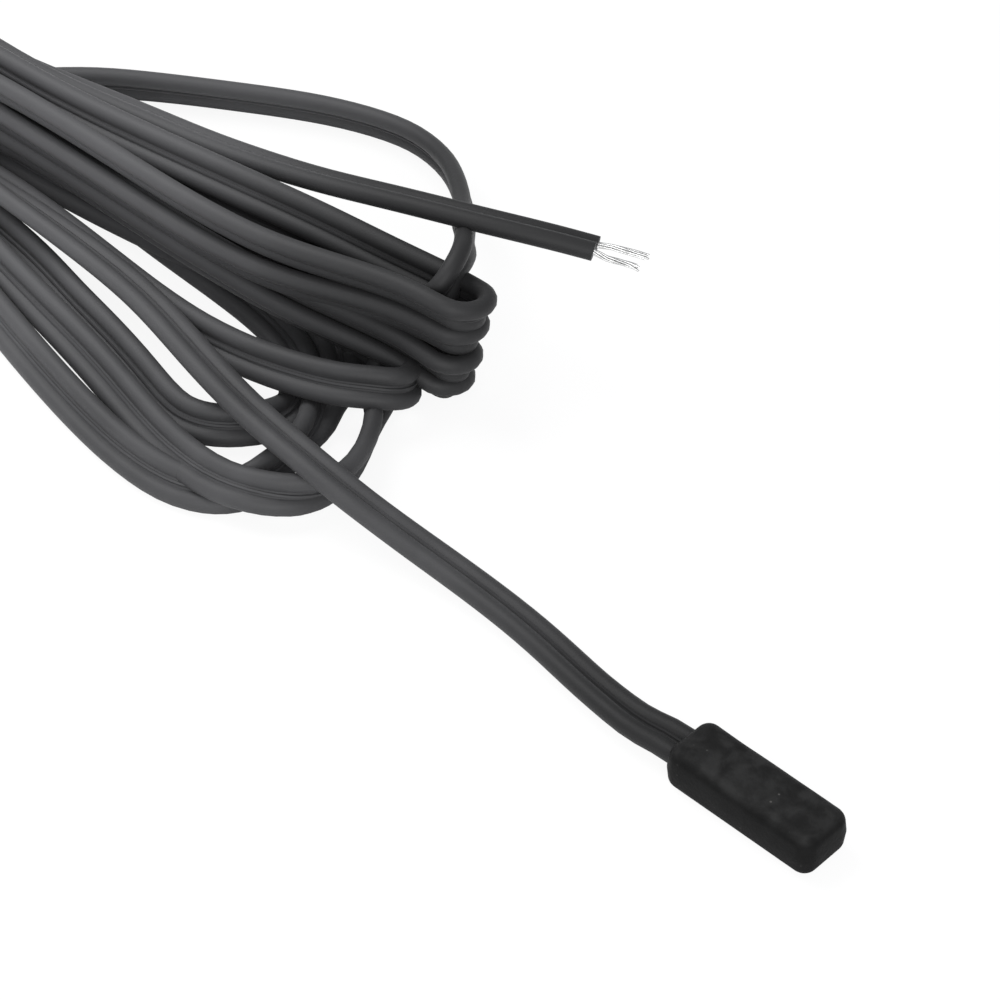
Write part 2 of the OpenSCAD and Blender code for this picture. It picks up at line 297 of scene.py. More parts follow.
# Painted light and shade on the jacket: a point in metres, the distances from it at which the change starts
# and is complete, its greatest share, and the new tone as a multiple of the jacket's colour
# Painted light: the hank is drawn paler
PAINTED_LIGHT_ON_HANK = ((-0.125, 0.02, 0.012), 0.06, 0.02, 0.58, 1.9)
# Painted shade: the lead near the head is drawn darker
PAINTED_SHADE_ON_LEAD = ((0, 0, 0), 0.055, 0.013, 1.0, 0.2)
# Painted shade: the loose end is drawn darker
PAINTED_SHADE_ON_LOOSE_END = ((-0.064, 0.042, 0.012), 0.044, 0.016, 0.9, 0.25)

# How far a surface of the head faces up where painted shade on its sides starts and where it is full, the
# greatest share of that shade, and the shaded tone as a multiple of the head's colour
SHADE_START_FACING = 0.95
FULL_SHADE_FACING = 0.4
SIDE_SHADE_SHARE = 0.8
SIDE_SHADE_TONE = 0.3
SPECK_COLOUR = (0.1, 0.098, 0.094)


def between(first, second, share):
    """The value at that share of the way from the first to the second."""
    return first + (second - first) * share


def share_of(value, whole):
    """The value as a share of the whole, kept from 0 to 1."""
    return min(1, max(0, value / whole))


def upright_turn(turn):
    """Points of one upright turn, from the tied part along the back, round its right end and back."""
    end_x, end_y = turn["end"]
    bend = turn["bend"]
    back_lean, front_lean = turn["leans"]
    points = []
    for x, y in BACK_PLAN:
        share = share_of(x - TIED_X, RISE)
        height = between(turn["middle"], turn["back"], share_of(x - DROP_X, DROP))
        shifted_y = y + (end_y - PLAN_END_Y) * (x - TIED_X) / PLAN_REACH
        points.append((x, shifted_y, between(turn["back_tied"], height, share),
                       between(UPRIGHT, back_lean, share)))
    points.append((end_x - RUN_IN, end_y + bend * RUN_IN_SHARE, turn["back"], back_lean))
    for step in range(END_STEPS + 1):
        angle = math.radians(90 - 180 * step / END_STEPS)
        share = step / END_STEPS
        points.append((end_x + bend * math.cos(angle), end_y + bend * math.sin(angle),
                       between(turn["back"], turn["right"], share), between(back_lean, front_lean, share)))
    for index, (x, y) in enumerate(FRONT_PLAN):
        push = turn["push"] * share_of(index + 0.5, PUSH_POINTS)
        lean = between(front_lean, FRONT_LEAN, share_of(index, LEAN_POINTS))
        points.append((x, y + push, turn["front"][index], lean))
    last_y, last_z = points[-1][1:3]
    tied_y, tied_z = turn["tied"]
    for share, x in INTO_TIE:
        points.append((x, between(last_y, tied_y, share), between(last_z, tied_z, share),
                       between(FRONT_LEAN, UPRIGHT, share)))
    return points


def left_end(front, back):
    """Points of the wide loop at the hank's left end, from a front strand to a back strand."""
    middle_y = (front[1] + back[1]) / 2
    radius = (back[1] - front[1]) / 2
    points = [(x, front[1], front[2], UPRIGHT) for x in LEFT_RUN]
    for step in range(LEFT_STEPS + 1):
        angle = math.radians(-90 - 180 * step / LEFT_STEPS)
        points.append((LEFT_X + radius * math.cos(angle), middle_y + radius * math.sin(angle),
                       between(front[2], back[2], step / LEFT_STEPS), UPRIGHT))
    points.extend((x, back[1], back[2], UPRIGHT) for x in reversed(LEFT_RUN))
    return points


def cable_route():
    """All points of the cable from the head to its cut end, in millimetres, with the lean of each."""
    stretches = [LEAD, LOWER_INNER, LOWER_OUTER, OUTER, LOW_TURN]
    stretches.extend(upright_turn(turn) for turn in reversed(TURNS))
    stretches.append(TAIL)
    route = list(LEAD)
    for before, after in zip(stretches, stretches[1:]):
        route.extend(left_end(before[-1], after[0]))
        route.extend(after)
    return route


def curve_point(a, b, c, d, t):
    """The point at share t of the uniform cubic B-spline that those four route points steer."""
    return (a * ((1 - t) ** 3 / 6) + b * ((3 * t ** 3 - 6 * t ** 2 + 4) / 6)
            + c * ((-3 * t ** 3 + 3 * t ** 2 + 3 * t + 1) / 6) + d * (t ** 3 / 6))


def smooth_route(route):
    """The route on one smooth curve, with closer points in its tight bends."""
    rows = [Vector(p) for p in route]
    rows = [2 * rows[0] - rows[1]] + rows + [2 * rows[-1] - rows[-2]]
    fine = []
    for i in range(1, len(rows) - 2):
        count = max(2, int((rows[i + 1].xyz - rows[i].xyz).length / FINE_STEP))
        fine.extend(curve_point(*rows[i - 1:i + 3], k / count) for k in range(count))
    fine.append(rows[-2])
    kept = [fine[0]]
    last_way = (fine[1].xyz - fine[0].xyz).normalized()
    for i in range(1, len(fine) - 1):
        way = (fine[i + 1].xyz - fine[i - 1].xyz).normalized()
        gap = (fine[i].xyz - kept[-1].xyz).length
        if gap > LEAST_GAP and (gap > MOST_GAP or way.angle(last_way) > RING_TURN):
            kept.append(fine[i])
            last_way = way
    kept.append(fine[-1])
    return kept


def ring_axes(points, i, former):
    """Direction, wide axis and thin axis of the flat cable at point i, and its level direction."""
    ahead = points[min(i + 1, len(points) - 1)].xyz
    behind = points[max(i - 1, 0)].xyz
    way = (ahead - behind).normalized()
    level = Vector((way.x, way.y, 0))
    if level.length > LEAST_LEVEL:
        level.normalize()
    else:
        level = former
    side = Vector((0, 0, 1)).cross(level)
    top = way.cross(side)
    top.normalize()
    lean = math.radians(points[i][3])
    wide = side * math.cos(lean) + top * math.sin(lean)
    wide = (wide - way * wide.dot(way)).normalized()
    return way, wide, way.cross(wide), level


def cable_outline(lobe_d, pitch, web, ridge):
    """Outline of the flat twin cable: two round lobes, and a narrow web with a fine ridge between them."""
    radius = lobe_d / 2
    groove = web / 2
    meet = math.pi - math.asin(groove / radius)
    points = []
    for side in (1, -1):
        for step in range(LOBE_STEPS + 1):
            angle = -meet + 2 * meet * step / LOBE_STEPS
            u = pitch / 2 + radius * math.cos(angle)
            points.append((side * u, side * radius * math.sin(angle)))
        foot = groove + FOOT_RISE
        crest = groove + ridge
        for u, v in ((RIDGE_FOOT, foot), (RIDGE_CREST, crest), (-RIDGE_CREST, crest), (-RIDGE_FOOT, foot)):
            points.append((side * u, side * v))
    return points


def tube_mesh(name, points, outline):
    """A mesh tube with that outline along the points, both in millimetres, closed at its ends."""
    mesh = bpy.data.meshes.new(name)
    verts = []
    faces = []
    count = len(outline)
    level = Vector((-1, 0, 0))
    for i, point in enumerate(points):
        way, wide, thin, level = ring_axes(points, i, level)
        for u, v in outline:
            verts.append((point.xyz + wide * u + thin * v) * MM)
    for i in range(len(points) - 1):
        for k in range(count):
            a = i * count + k
            b = i * count + (k + 1) % count
            faces.append((a, b, b + count, a + count))
    last = (len(points) - 1) * count
    faces.append(tuple(reversed(range(count))))
    faces.append(tuple(range(last, last + count)))
    mesh.from_pydata(verts, [], faces)
    mesh.update()
    return mesh


def bridge(builder, ring, following, flip=False):
    """A band of faces between two rings with as many points."""
    count = len(ring)
    for k in range(count):
        after = (k + 1) % count
        face = (ring[k], ring[after], following[after], following[k])
        builder.faces.new(tuple(reversed(face)) if flip else face)


def finished_mesh(builder, name):
    """Turns the builder into a mesh."""
    mesh = bpy.data.meshes.new(name)
    builder.to_mesh(mesh)
    builder.free()
    return mesh


def smooth(mesh, angle):
    """Shades a mesh smooth, except along edges sharper than that angle in degrees."""
    mesh.shade_smooth()
    mesh.set_sharp_from_angle(angle=math.radians(angle))


def add_piece(name, mesh, material, replaced):
    """Puts a mesh in the scene as a piece that rides with the part and stands for those CAD nodes."""
    piece = bpy.data.objects.new(name, mesh)
    bpy.context.scene.collection.objects.link(piece)
    mesh.materials.append(material)
    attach(piece, "root")
    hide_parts(*replaced)
    return piece


def toned(colour, factor):
    """A colour times that factor."""
    return tuple(factor * c for c in colour)


def node_group(name, inputs, outputs):
    """An empty shader node group. Inputs are names, kinds and defaults, outputs are names and kinds."""
    group = bpy.data.node_groups.new(name, "ShaderNodeTree")
    for label, kind, default in inputs:
        socket = group.interface.new_socket(name=label, in_out="INPUT", socket_type=kind)
        socket.default_value = default
    for label, kind in outputs:
        group.interface.new_socket(name=label, in_out="OUTPUT", socket_type=kind)
    start = group.nodes.new("NodeGroupInput")
    stop = group.nodes.new("NodeGroupOutput")
    start.location = (-900, 0)
    stop.location = (900, 0)
    return group, start, stop


def feed(tree, socket, value):
    """Gives a socket a plain number or colour, or links it to another node's output."""
    if isinstance(value, bpy.types.NodeSocket):
        tree.links.new(value, socket)
    elif isinstance(value, tuple):
        socket.default_value = (*value, 1)
    else:
        socket.default_value = value


def math_node(tree, operation, *values, clamp=False):
    """The result of a Math node for those numbers or outputs."""
    node = tree.nodes.new("ShaderNodeMath")
    node.operation = operation
    node.use_clamp = clamp
    for socket, value in zip(node.inputs, values):
        feed(tree, socket, value)
    return node.outputs[0]


def noise_node(tree, place, scale, detail, roughness=0.5, distortion=0.0):
    """A noise pattern over the surface. Its scale is in waves per metre."""
    node = tree.nodes.new("ShaderNodeTexNoise")
    feed(tree, node.inputs["Vector"], place)
    feed(tree, node.inputs["Scale"], scale)
    feed(tree, node.inputs["Detail"], detail)
    feed(tree, node.inputs["Roughness"], roughness)
    feed(tree, node.inputs["Distortion"], distortion)
    return node.outputs["Fac"]


def ramp_node(tree, value, low, high):
    """Runs softly from 0 to 1 while the value goes from low to high."""
    node = tree.nodes.new("ShaderNodeMapRange")
    node.interpolation_type = "SMOOTHSTEP"
    node.clamp = True
    feed(tree, node.inputs["Value"], value)
    feed(tree, node.inputs["From Min"], low)
    feed(tree, node.inputs["From Max"], high)
    return node.outputs["Result"]


def mix_colour(tree, factor, first, second):
    """The first colour where the factor is 0 and the second where it is 1."""
    node = tree.nodes.new("ShaderNodeMix")
    node.data_type = "RGBA"
    for socket, value in zip((node.inputs[0], node.inputs[6], node.inputs[7]), (factor, first, second)):
        feed(tree, socket, value)
    return node.outputs[2]


def object_place(tree):
    """The place on the object, in metres."""
    return tree.nodes.new("ShaderNodeTexCoord").outputs["Object"]


def grain_group():
    """Grain of a plastic or a drawn metal: its fine height, slow patches of tone, and a few specks."""
    name = "Plastic grain"
    if name in bpy.data.node_groups:
        return bpy.data.node_groups[name]
    group, start, stop = node_group(
        name,
        [("Grain size", "NodeSocketFloat", 3000.0), ("Patch size", "NodeSocketFloat", 120.0)],
        [("Height", "NodeSocketFloat"), ("Patches", "NodeSocketFloat"), ("Specks", "NodeSocketFloat")])
    place = object_place(group)
    height = noise_node(group, place, start.outputs["Grain size"], detail=3.0, roughness=0.6)
    patches = noise_node(group, place, start.outputs["Patch size"], detail=3.0, roughness=0.55,
                         distortion=0.3)
    # A dot in the middle of each small cell, kept only where a slower pattern is high
    cells = group.nodes.new("ShaderNodeTexVoronoi")
    feed(group, cells.inputs["Vector"], place)
    feed(group, cells.inputs["Scale"], 800.0)
    dots = ramp_node(group, cells.outputs["Distance"], 0.13, 0.05)
    where = noise_node(group, place, 260.0, detail=0.0)
    specks = math_node(group, "MULTIPLY", dots, ramp_node(group, where, 0.46, 0.52))
    feed(group, stop.inputs["Height"], height)
    feed(group, stop.inputs["Patches"], patches)
    feed(group, stop.inputs["Specks"], specks)
    return group


def new_material(name, roughness, metallic, specular):
    """A material with its shader set to those values."""
    material = bpy.data.materials.new(name)
    material.use_nodes = True
    tree = material.node_tree
    shader = tree.nodes["Principled BSDF"]
    shader.inputs["Roughness"].default_value = roughness
    shader.inputs["Metallic"].default_value = metallic
    shader.inputs["Specular IOR Level"].default_value = specular
    return material, tree, shader


def grain_effect(tree, grain, patch):
    """The shared grain in a material, with its sizes there in waves per metre."""
    effect = tree.nodes.new("ShaderNodeGroup")
    effect.node_tree = grain_group()
    effect.inputs["Grain size"].default_value = grain
    effect.inputs["Patch size"].default_value = patch
    return effect


def finish_surface(tree, shader, effect, tone, roughness, swing, bump, depth):
    """Gives the shader its tone, a roughness that swings with the patches, and the grain's relief."""
    feed(tree, shader.inputs["Base Color"], tone)
    rough = math_node(tree, "MULTIPLY_ADD", effect.outputs["Patches"], swing, roughness - swing / 2)
    feed(tree, shader.inputs["Roughness"], rough)
    relief = tree.nodes.new("ShaderNodeBump")
    relief.inputs["Strength"].default_value = bump
    relief.inputs["Distance"].default_value = depth
    feed(tree, relief.inputs["Height"], effect.outputs["Height"])
    feed(tree, shader.inputs["Normal"], relief.outputs["Normal"])


def spot_mask(tree, point, outer, inner):
    """Grows from 0 to 1 between those distances from a point."""
    gap = tree.nodes.new("ShaderNodeVectorMath")
    gap.operation = "DISTANCE"
    feed(tree, gap.inputs[0], object_place(tree))
    gap.inputs[1].default_value = point
    return ramp_node(tree, gap.outputs["Value"], outer, inner)


def jacket_painted_light(tree, tone, colour):
    """The jacket's tone with painted light on the hank, and painted shade near the head and at the loose
    end.
    """
    for point, outer, inner, share, factor in (PAINTED_LIGHT_ON_HANK, PAINTED_SHADE_ON_LEAD, PAINTED_SHADE_ON_LOOSE_END):
        amount = math_node(tree, "MULTIPLY", spot_mask(tree, point, outer, inner), share)
        tone = mix_colour(tree, amount, tone, toned(colour, factor))
    return tone


def painted_side_shade(tree, tone, colour):
    """The head's tone with painted shade: darker on the sides than on what faces up."""
    parts = tree.nodes.new("ShaderNodeSeparateXYZ")
    feed(tree, parts.inputs["Vector"], tree.nodes.new("ShaderNodeNewGeometry").outputs["Normal"])
    sides = ramp_node(tree, parts.outputs["Z"], SHADE_START_FACING, FULL_SHADE_FACING)
    shade_share = math_node(tree, "MULTIPLY", sides, SIDE_SHADE_SHARE)
    return mix_colour(tree, shade_share, tone, toned(colour, SIDE_SHADE_TONE))


def grained_plastic(name, colour, light_colour, roughness, grain, bump, patch=120.0, specks=0.0,
                    specular=0.3, sheen=0.0, shade=None):
    """A plastic or rubber with grain, slow patches of tone and, where wanted, pale specks and painted light
    and shade.
    """
    material, tree, shader = new_material(name, roughness, 0.0, specular)
    shader.inputs["Sheen Weight"].default_value = sheen
    shader.inputs["Sheen Roughness"].default_value = 0.45
    effect = grain_effect(tree, grain, patch)
    patches = ramp_node(tree, effect.outputs["Patches"], 0.35, 0.68)
    tone = mix_colour(tree, patches, colour, light_colour)
    if specks > 0:
        amount = math_node(tree, "MULTIPLY", effect.outputs["Specks"], specks)
        tone = mix_colour(tree, amount, tone, SPECK_COLOUR)
    if shade:
        tone = shade(tree, tone, colour)
    finish_surface(tree, shader, effect, tone, roughness, swing=0.16, bump=bump, depth=0.1 * MM)
    return material


def tinned_metal(name, colour, roughness, grain):
    """Tinned copper: bright, with soft dull patches and fine drawing marks."""
    material, tree, shader = new_material(name, roughness, 1.0, 0.5)
    effect = grain_effect(tree, grain, 600.0)
    patches = ramp_node(tree, effect.outputs["Patches"], 0.4, 0.7)
    tone = mix_colour(tree, patches, colour, toned(colour, 0.72))
    finish_surface(tree, shader, effect, tone, roughness, swing=0.3, bump=0.25, depth=0.05 * MM)
    return material


class ProbeCable(bpy.types.PropertyGroup):
    """Sizes and colour of the flat twin cable."""
    lobe_d: bpy.props.FloatProperty(
        name="Core diameter", description="Diameter of each insulated core",
        default=2.05 * MM, unit="LENGTH")
    pitch: bpy.props.FloatProperty(
        name="Core pitch", description="Distance between the two cores",
        default=2.55 * MM, unit="LENGTH")
    web: bpy.props.FloatProperty(
        name="Web thickness", description="Thickness of the web beside its ridge",
        default=1.0 * MM, unit="LENGTH")
    ridge: bpy.props.FloatProperty(
        name="Ridge", description="Height of the fine ridge along the web",
        default=0.2 * MM, unit="LENGTH")
    length: bpy.props.FloatProperty(
        name="Cable length", description="Real length from the head to the cut end",
        default=2.5, unit="LENGTH")
    strip: bpy.props.FloatProperty(
        name="Stripped length", description="Bare conductor at the cut end",
        default=5.2 * MM, unit="LENGTH")
    thread_d: bpy.props.FloatProperty(
        name="Wire diameter", description="Diameter of one wire of a strand",
        default=0.23 * MM, unit="LENGTH")
    colour: bpy.props.FloatVectorProperty(
        name="Jacket colour", description="Charcoal of the cable's jacket",
        default=(0.036, 0.036, 0.0375), min=0, max=1, subtype="COLOR")


class ProbeHead(bpy.types.PropertyGroup):
    """Sizes and colour of the moulded head."""
    edge_r: bpy.props.FloatProperty(
        name="Edge radius", description="Radius of the soft edges",
        default=1.35 * MM, unit="LENGTH")
    corner_r: bpy.props.FloatProperty(
        name="Corner radius", description="Radius of the upright corners",
        default=1.6 * MM, unit="LENGTH")
    draft: bpy.props.FloatProperty(
        name="Draft", description="How far the sides lean in from the parting line",
        default=0.12 * MM, unit="LENGTH")
    colour: bpy.props.FloatVectorProperty(
        name="Head colour", description="Black of the moulded rubber",
        default=(0.0065, 0.0065, 0.0065), min=0, max=1, subtype="COLOR")


class ProbeTie(bpy.types.PropertyGroup):
    """Sizes and colours of the hank's tie."""
    thickness: bpy.props.FloatProperty(
        name="Tie thickness", description="Thickness of the band",
        default=0.8 * MM, unit="LENGTH")
    edge: bpy.props.FloatProperty(
        name="Tie edge", description="How far the band's edges are cut back",
        default=0.25 * MM, unit="LENGTH")
    corner_r: bpy.props.FloatProperty(
        name="Tie corner radius", description="Outer radius where the band turns a corner",
        default=1.6 * MM, unit="LENGTH")
    colour: bpy.props.FloatVectorProperty(
        name="Tie colour", description="Black of the band",
        default=(0.02, 0.02, 0.021), min=0, max=1, subtype="COLOR")
    light_colour: bpy.props.FloatVectorProperty(
        name="Tie patches", description="Paler tone of the band's patches",
        default=(0.03, 0.03, 0.031), min=0, max=1, subtype="COLOR")


class ProbeStage(bpy.types.PropertyGroup):
    """Camera and light."""
    camera_place: bpy.props.FloatVectorProperty(
        name="Camera place", description="Where the camera stands",
        default=(0.12279, -0.16121, 0.22779), subtype="TRANSLATION")
    camera_target: bpy.props.FloatVectorProperty(
        name="Camera target", description="The point that the camera looks at",
        default=(-0.0469, 0.0145, 0.0), subtype="TRANSLATION")
    view_angle: bpy.props.FloatProperty(
        name="View angle", description="Angle of the square view",
        default=math.radians(17.5), subtype="ANGLE")
    world_colour: bpy.props.FloatVectorProperty(
        name="World colour", description="Colour of the light from all round",
        default=(0.57, 0.575, 0.59), min=0, max=1, subtype="COLOR")
    window_power: bpy.props.FloatProperty(
        name="Window power", description="Power of the large lamp at the left", default=1.25, unit="POWER")
    front_power: bpy.props.FloatProperty(
        name="Front power", description="Power of the lamp near the camera", default=1.7, unit="POWER")


class PROBE_OT_stage(bpy.types.Operator):
    """Set up the camera, the pale floor and the soft lights"""
    bl_idname = "probe.stage"
    bl_label = "Stage"

    def execute(self, context):
        values = context.scene.probe_stage
        context.scene.view_settings.view_transform = "Standard"
        self.camera(context.scene, values)
        self.floor(context.scene)
        self.world(context.scene, values)
        self.lamp(context.scene, "window_light", place=(-0.27, -0.02, 0.33), size=0.28,
                  power=values.window_power)
        self.lamp(context.scene, "front_light", place=(0.19, -0.27, 0.24), size=0.35,
                  power=values.front_power)
        return {"FINISHED"}

    def camera(self, scene, values):
        """The camera at the photo's place, with its square view."""
        data = bpy.data.cameras.new("camera")
        data.sensor_width = 36
        data.sensor_height = 36
        data.sensor_fit = "HORIZONTAL"
        data.angle = values.view_angle
        data.clip_start = 0.01
        data.clip_end = 10
        camera = bpy.data.objects.new("camera", data)
        scene.collection.objects.link(camera)
        self.aim(camera, values.camera_place, values.camera_target)
        scene.camera = camera

    def aim(self, thing, place, target):
        """Puts a camera or lamp at a place, turned towards its target."""
        thing.location = place
        way = Vector(target) - Vector(place)
        thing.rotation_euler = way.to_track_quat("-Z", "Y").to_euler()

    def floor(self, scene):
        """A wide floor, a hair below the cable so that the two never share a plane."""
        half = 1.5
        mesh = bpy.data.meshes.new("floor")
        corners = [(-half, -half, 0), (half, -half, 0), (half, half, 0), (-half, half, 0)]
        mesh.from_pydata(corners, [], [(0, 1, 2, 3)])
        floor = bpy.data.objects.new("floor", mesh)
        floor.location = (-0.06, 0.01, -0.02 * MM)
        scene.collection.objects.link(floor)
        mesh.materials.append(self.floor_material())

    def floor_material(self):
        """A pale floor that takes the object's shadow and looks white to the camera."""
        material, tree, shader = new_material("White floor", 0.8, 0.0, 0.2)
        fleck = noise_node(tree, object_place(tree), 30.0, detail=3.0)
        tone = mix_colour(tree, fleck, (0.86, 0.86, 0.86), (0.88, 0.88, 0.88))
        feed(tree, shader.inputs["Base Color"], tone)
        glow = tree.nodes.new("ShaderNodeEmission")
        glow.inputs["Color"].default_value = (1, 1, 1, 1)
        glow.inputs["Strength"].default_value = 1.0
        path = tree.nodes.new("ShaderNodeLightPath")
        mix = tree.nodes.new("ShaderNodeMixShader")
        feed(tree, mix.inputs[0], math_node(tree, "MULTIPLY", path.outputs["Is Camera Ray"], 0.9))
        feed(tree, mix.inputs[1], shader.outputs[0])
        feed(tree, mix.inputs[2], glow.outputs[0])
        feed(tree, tree.nodes["Material Output"].inputs["Surface"], mix.outputs[0])
        return material

    def world(self, scene, values):
        """An even light from all round, seen as white by the camera."""
        world = bpy.data.worlds.new("world")
        scene.world = world
        world.use_nodes = True
        tree = world.node_tree
        background = tree.nodes["Background"]
        path = tree.nodes.new("ShaderNodeLightPath")
        seen = math_node(tree, "ADD", path.outputs["Is Camera Ray"], path.outputs["Is Transmission Ray"],
                         clamp=True)
        colour = mix_colour(tree, seen, tuple(values.world_colour), (1, 1, 1))
        feed(tree, background.inputs["Color"], colour)
        background.inputs["Strength"].default_value = 1.0

    def lamp(self, scene, name, place, size, power):
        """A round soft lamp aimed at the middle of the part."""
        data = bpy.data.lights.new(name, "AREA")
        data.shape = "DISK"
        data.size = size
        data.energy = power
        lamp = bpy.data.objects.new(name, data)
        self.aim(lamp, place, (-0.08, 0.01, 0))
        scene.collection.objects.link(lamp)


class PROBE_OT_cable(bpy.types.Operator):
    """Build the flat twin cable in one length, with all the turns of its hank and its bare ends"""
    bl_idname = "probe.cable"
    bl_label = "Cable"

    # How far the cut at the end slants, in millimetres for each millimetre across the cable
    slant = 0.13
    # Wires of a strand, and the sides and lengthwise steps of each
    wires = 7
    wire_sides = 10
    wire_steps = 12

    def execute(self, context):
        values = context.scene.probe_cable
        points = smooth_route(cable_route())
        outline = cable_outline(values.lobe_d / MM, values.pitch / MM, values.web / MM, values.ridge / MM)
        mesh = tube_mesh("flat_twin_cable", points, outline)
        self.slant_cut(mesh, points, outline)
        smooth(mesh, 30)
        colour = tuple(values.colour)
        # The jacket carries painted light on the hank and painted shade near the head and at the loose end
        jacket = grained_plastic("Charcoal jacket", colour, toned(colour, 1.3), roughness=0.6, grain=2600.0,
                                 bump=0.25, patch=90.0, specular=0.25, sheen=0.02, shade=jacket_painted_light)
        piece = add_piece("flat_twin_cable", mesh, jacket,
                          ("cable_lead", "cable_hank_turns", "cable_lower_loops", "cable_outer_loop",
                           "cable_tied_part", "cable_tail"))
        strands = self.tail_strands(values, points)
        return {"FINISHED"}

    def slant_cut(self, mesh, points, outline):
        """Moves the last ring along the cable, so that its front core is cut a little shorter."""
        way = (points[-1].xyz - points[-2].xyz).normalized()
        first = len(mesh.vertices) - len(outline)
        for k, (u, v) in enumerate(outline):
            mesh.vertices[first + k].co -= way * u * self.slant * MM

    def tail_strands(self, values, points):
        """Seven tinned wires for each core at the cut end. One strand is split in two."""
        metal = tinned_metal("Tinned wire", (0.58, 0.58, 0.575), roughness=0.34, grain=5000.0)
        axes = ring_axes(points, len(points) - 1, Vector((1, 0, 0)))[:3]
        radius = values.thread_d / MM / 2
        pieces = []
        for node, side, split in (("tail_strand_left", 1, 0.0), ("tail_strand_right", -1, 0.35)):
            builder = bmesh.new()
            centre = points[-1].xyz + axes[1] * side * values.pitch / MM / 2
            for k in range(self.wires):
                stations = self.wire_route(k, side, split, centre, axes, radius, values.strip / MM)
                self.wire(builder, stations, radius)
            name = node + "_wires"
            mesh = finished_mesh(builder, name)
            smooth(mesh, 50)
            pieces.append(add_piece(name, mesh, metal, (node,)))
        return pieces

    def wire_route(self, k, side, split, centre, axes, radius, strip):
        """Stations of wire k of a strand. Wire 0 is its middle, and the others twist round it."""
        way, wide, thin = axes
        up = thin if thin.z > 0 else -thin
        inside_jacket = 0.3
        # A split strand is twisted less, and its wires part into two bunches
        twist = 150 * (1 - 0.6 * split)
        bunch = 1 if k in (0, 1, 2, 6) else -1
        off_middle = 2 if k else 0.3
        # Two wires have a hooked tip, and all end unevenly
        hook = 1.25 if k in (1, 4) else 0.25
        reach = strip * (1.04 - 0.08 * side + 0.04 * math.sin(5 * k))
        stations = []
        for step in range(self.wire_steps + 1):
            t = step / self.wire_steps
            angle = math.radians(60 * k + twist * t)
            across = (wide * math.cos(angle) + thin * math.sin(angle)) * off_middle * radius
            apart = wide * -side * bunch * split * (0.15 + 0.85 * t) * t
            bent_tip = thin * hook * max(0, t - 0.8)
            sag = up * (-side * 0.3 - 0.05) * min(1, 3 * t)
            stations.append(centre + way * (reach * t - inside_jacket) + across + apart + bent_tip + sag)
        return stations

    def wire(self, builder, stations, radius):
        """One round wire through the stations."""
        rings = []
        for i, spot in enumerate(stations):
            way = (stations[min(i + 1, len(stations) - 1)] - stations[max(i - 1, 0)]).normalized()
            side = way.cross(Vector((0, 0, 1))).normalized()
            top = side.cross(way)
            ring = []
            for k in range(self.wire_sides):
                angle = math.tau * k / self.wire_sides
                offset = side * math.cos(angle) + top * math.sin(angle)
                ring.append(builder.verts.new((spot + offset * radius) * MM))
            rings.append(ring)
        for ring, following in zip(rings, rings[1:]):
            bridge(builder, ring, following)
        builder.faces.new(list(reversed(rings[0])))
        builder.faces.new(rings[-1])


